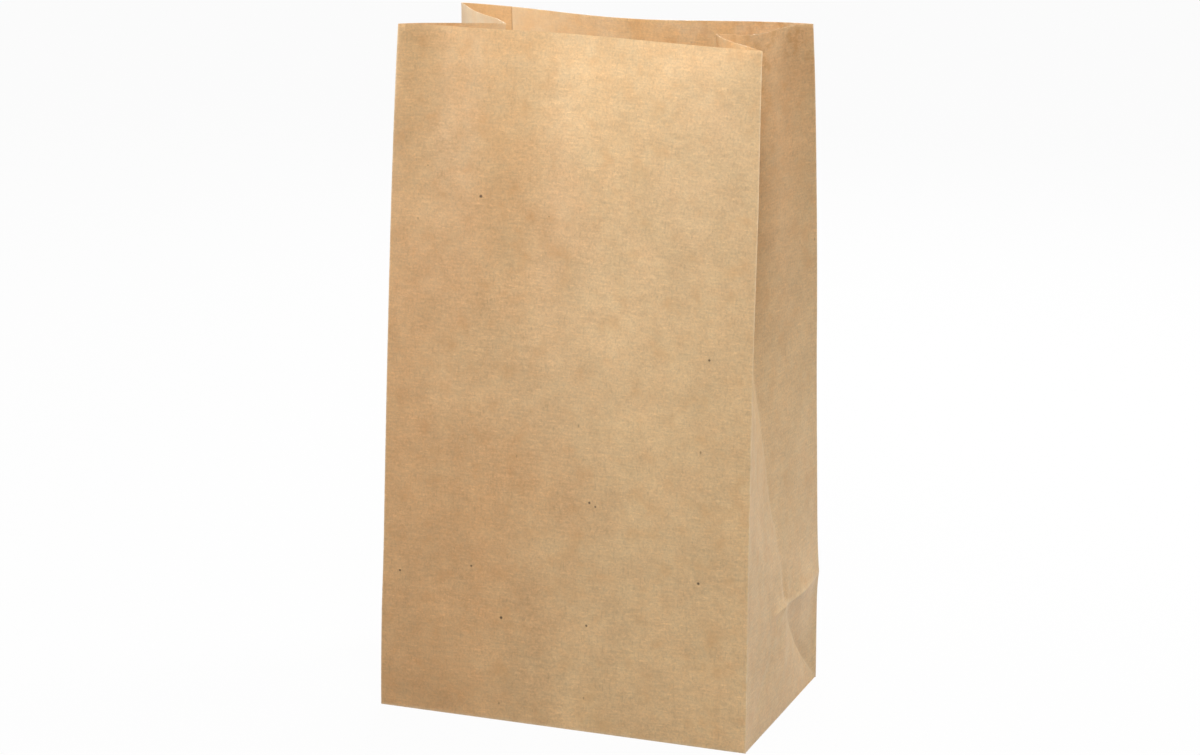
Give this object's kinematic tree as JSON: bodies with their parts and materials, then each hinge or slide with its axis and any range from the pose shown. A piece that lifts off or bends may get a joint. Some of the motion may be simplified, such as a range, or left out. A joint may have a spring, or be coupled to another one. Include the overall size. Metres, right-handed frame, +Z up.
{
  "type": "paper bag",
  "caption": "Plain brown kraft paper bag with a block bottom and folded side gussets, standing open and empty.",
  "frame": {"origin": "middle of the base, on the underside of the outer bottom flap", "axes": "+Z up to the open mouth, -Y out of the front panel, +X to the right seen from the front"},
  "size_m": [0.1544, 0.0906, 0.2694],
  "materials": {
    "brown_kraft": "matte unbleached kraft paper, faintly ribbed, with a cloudy formation and dark fibre specks"
  },
  "bodies": {
    "root": {"paper_bag": "brown_kraft"}
  },
  "joints": []
}
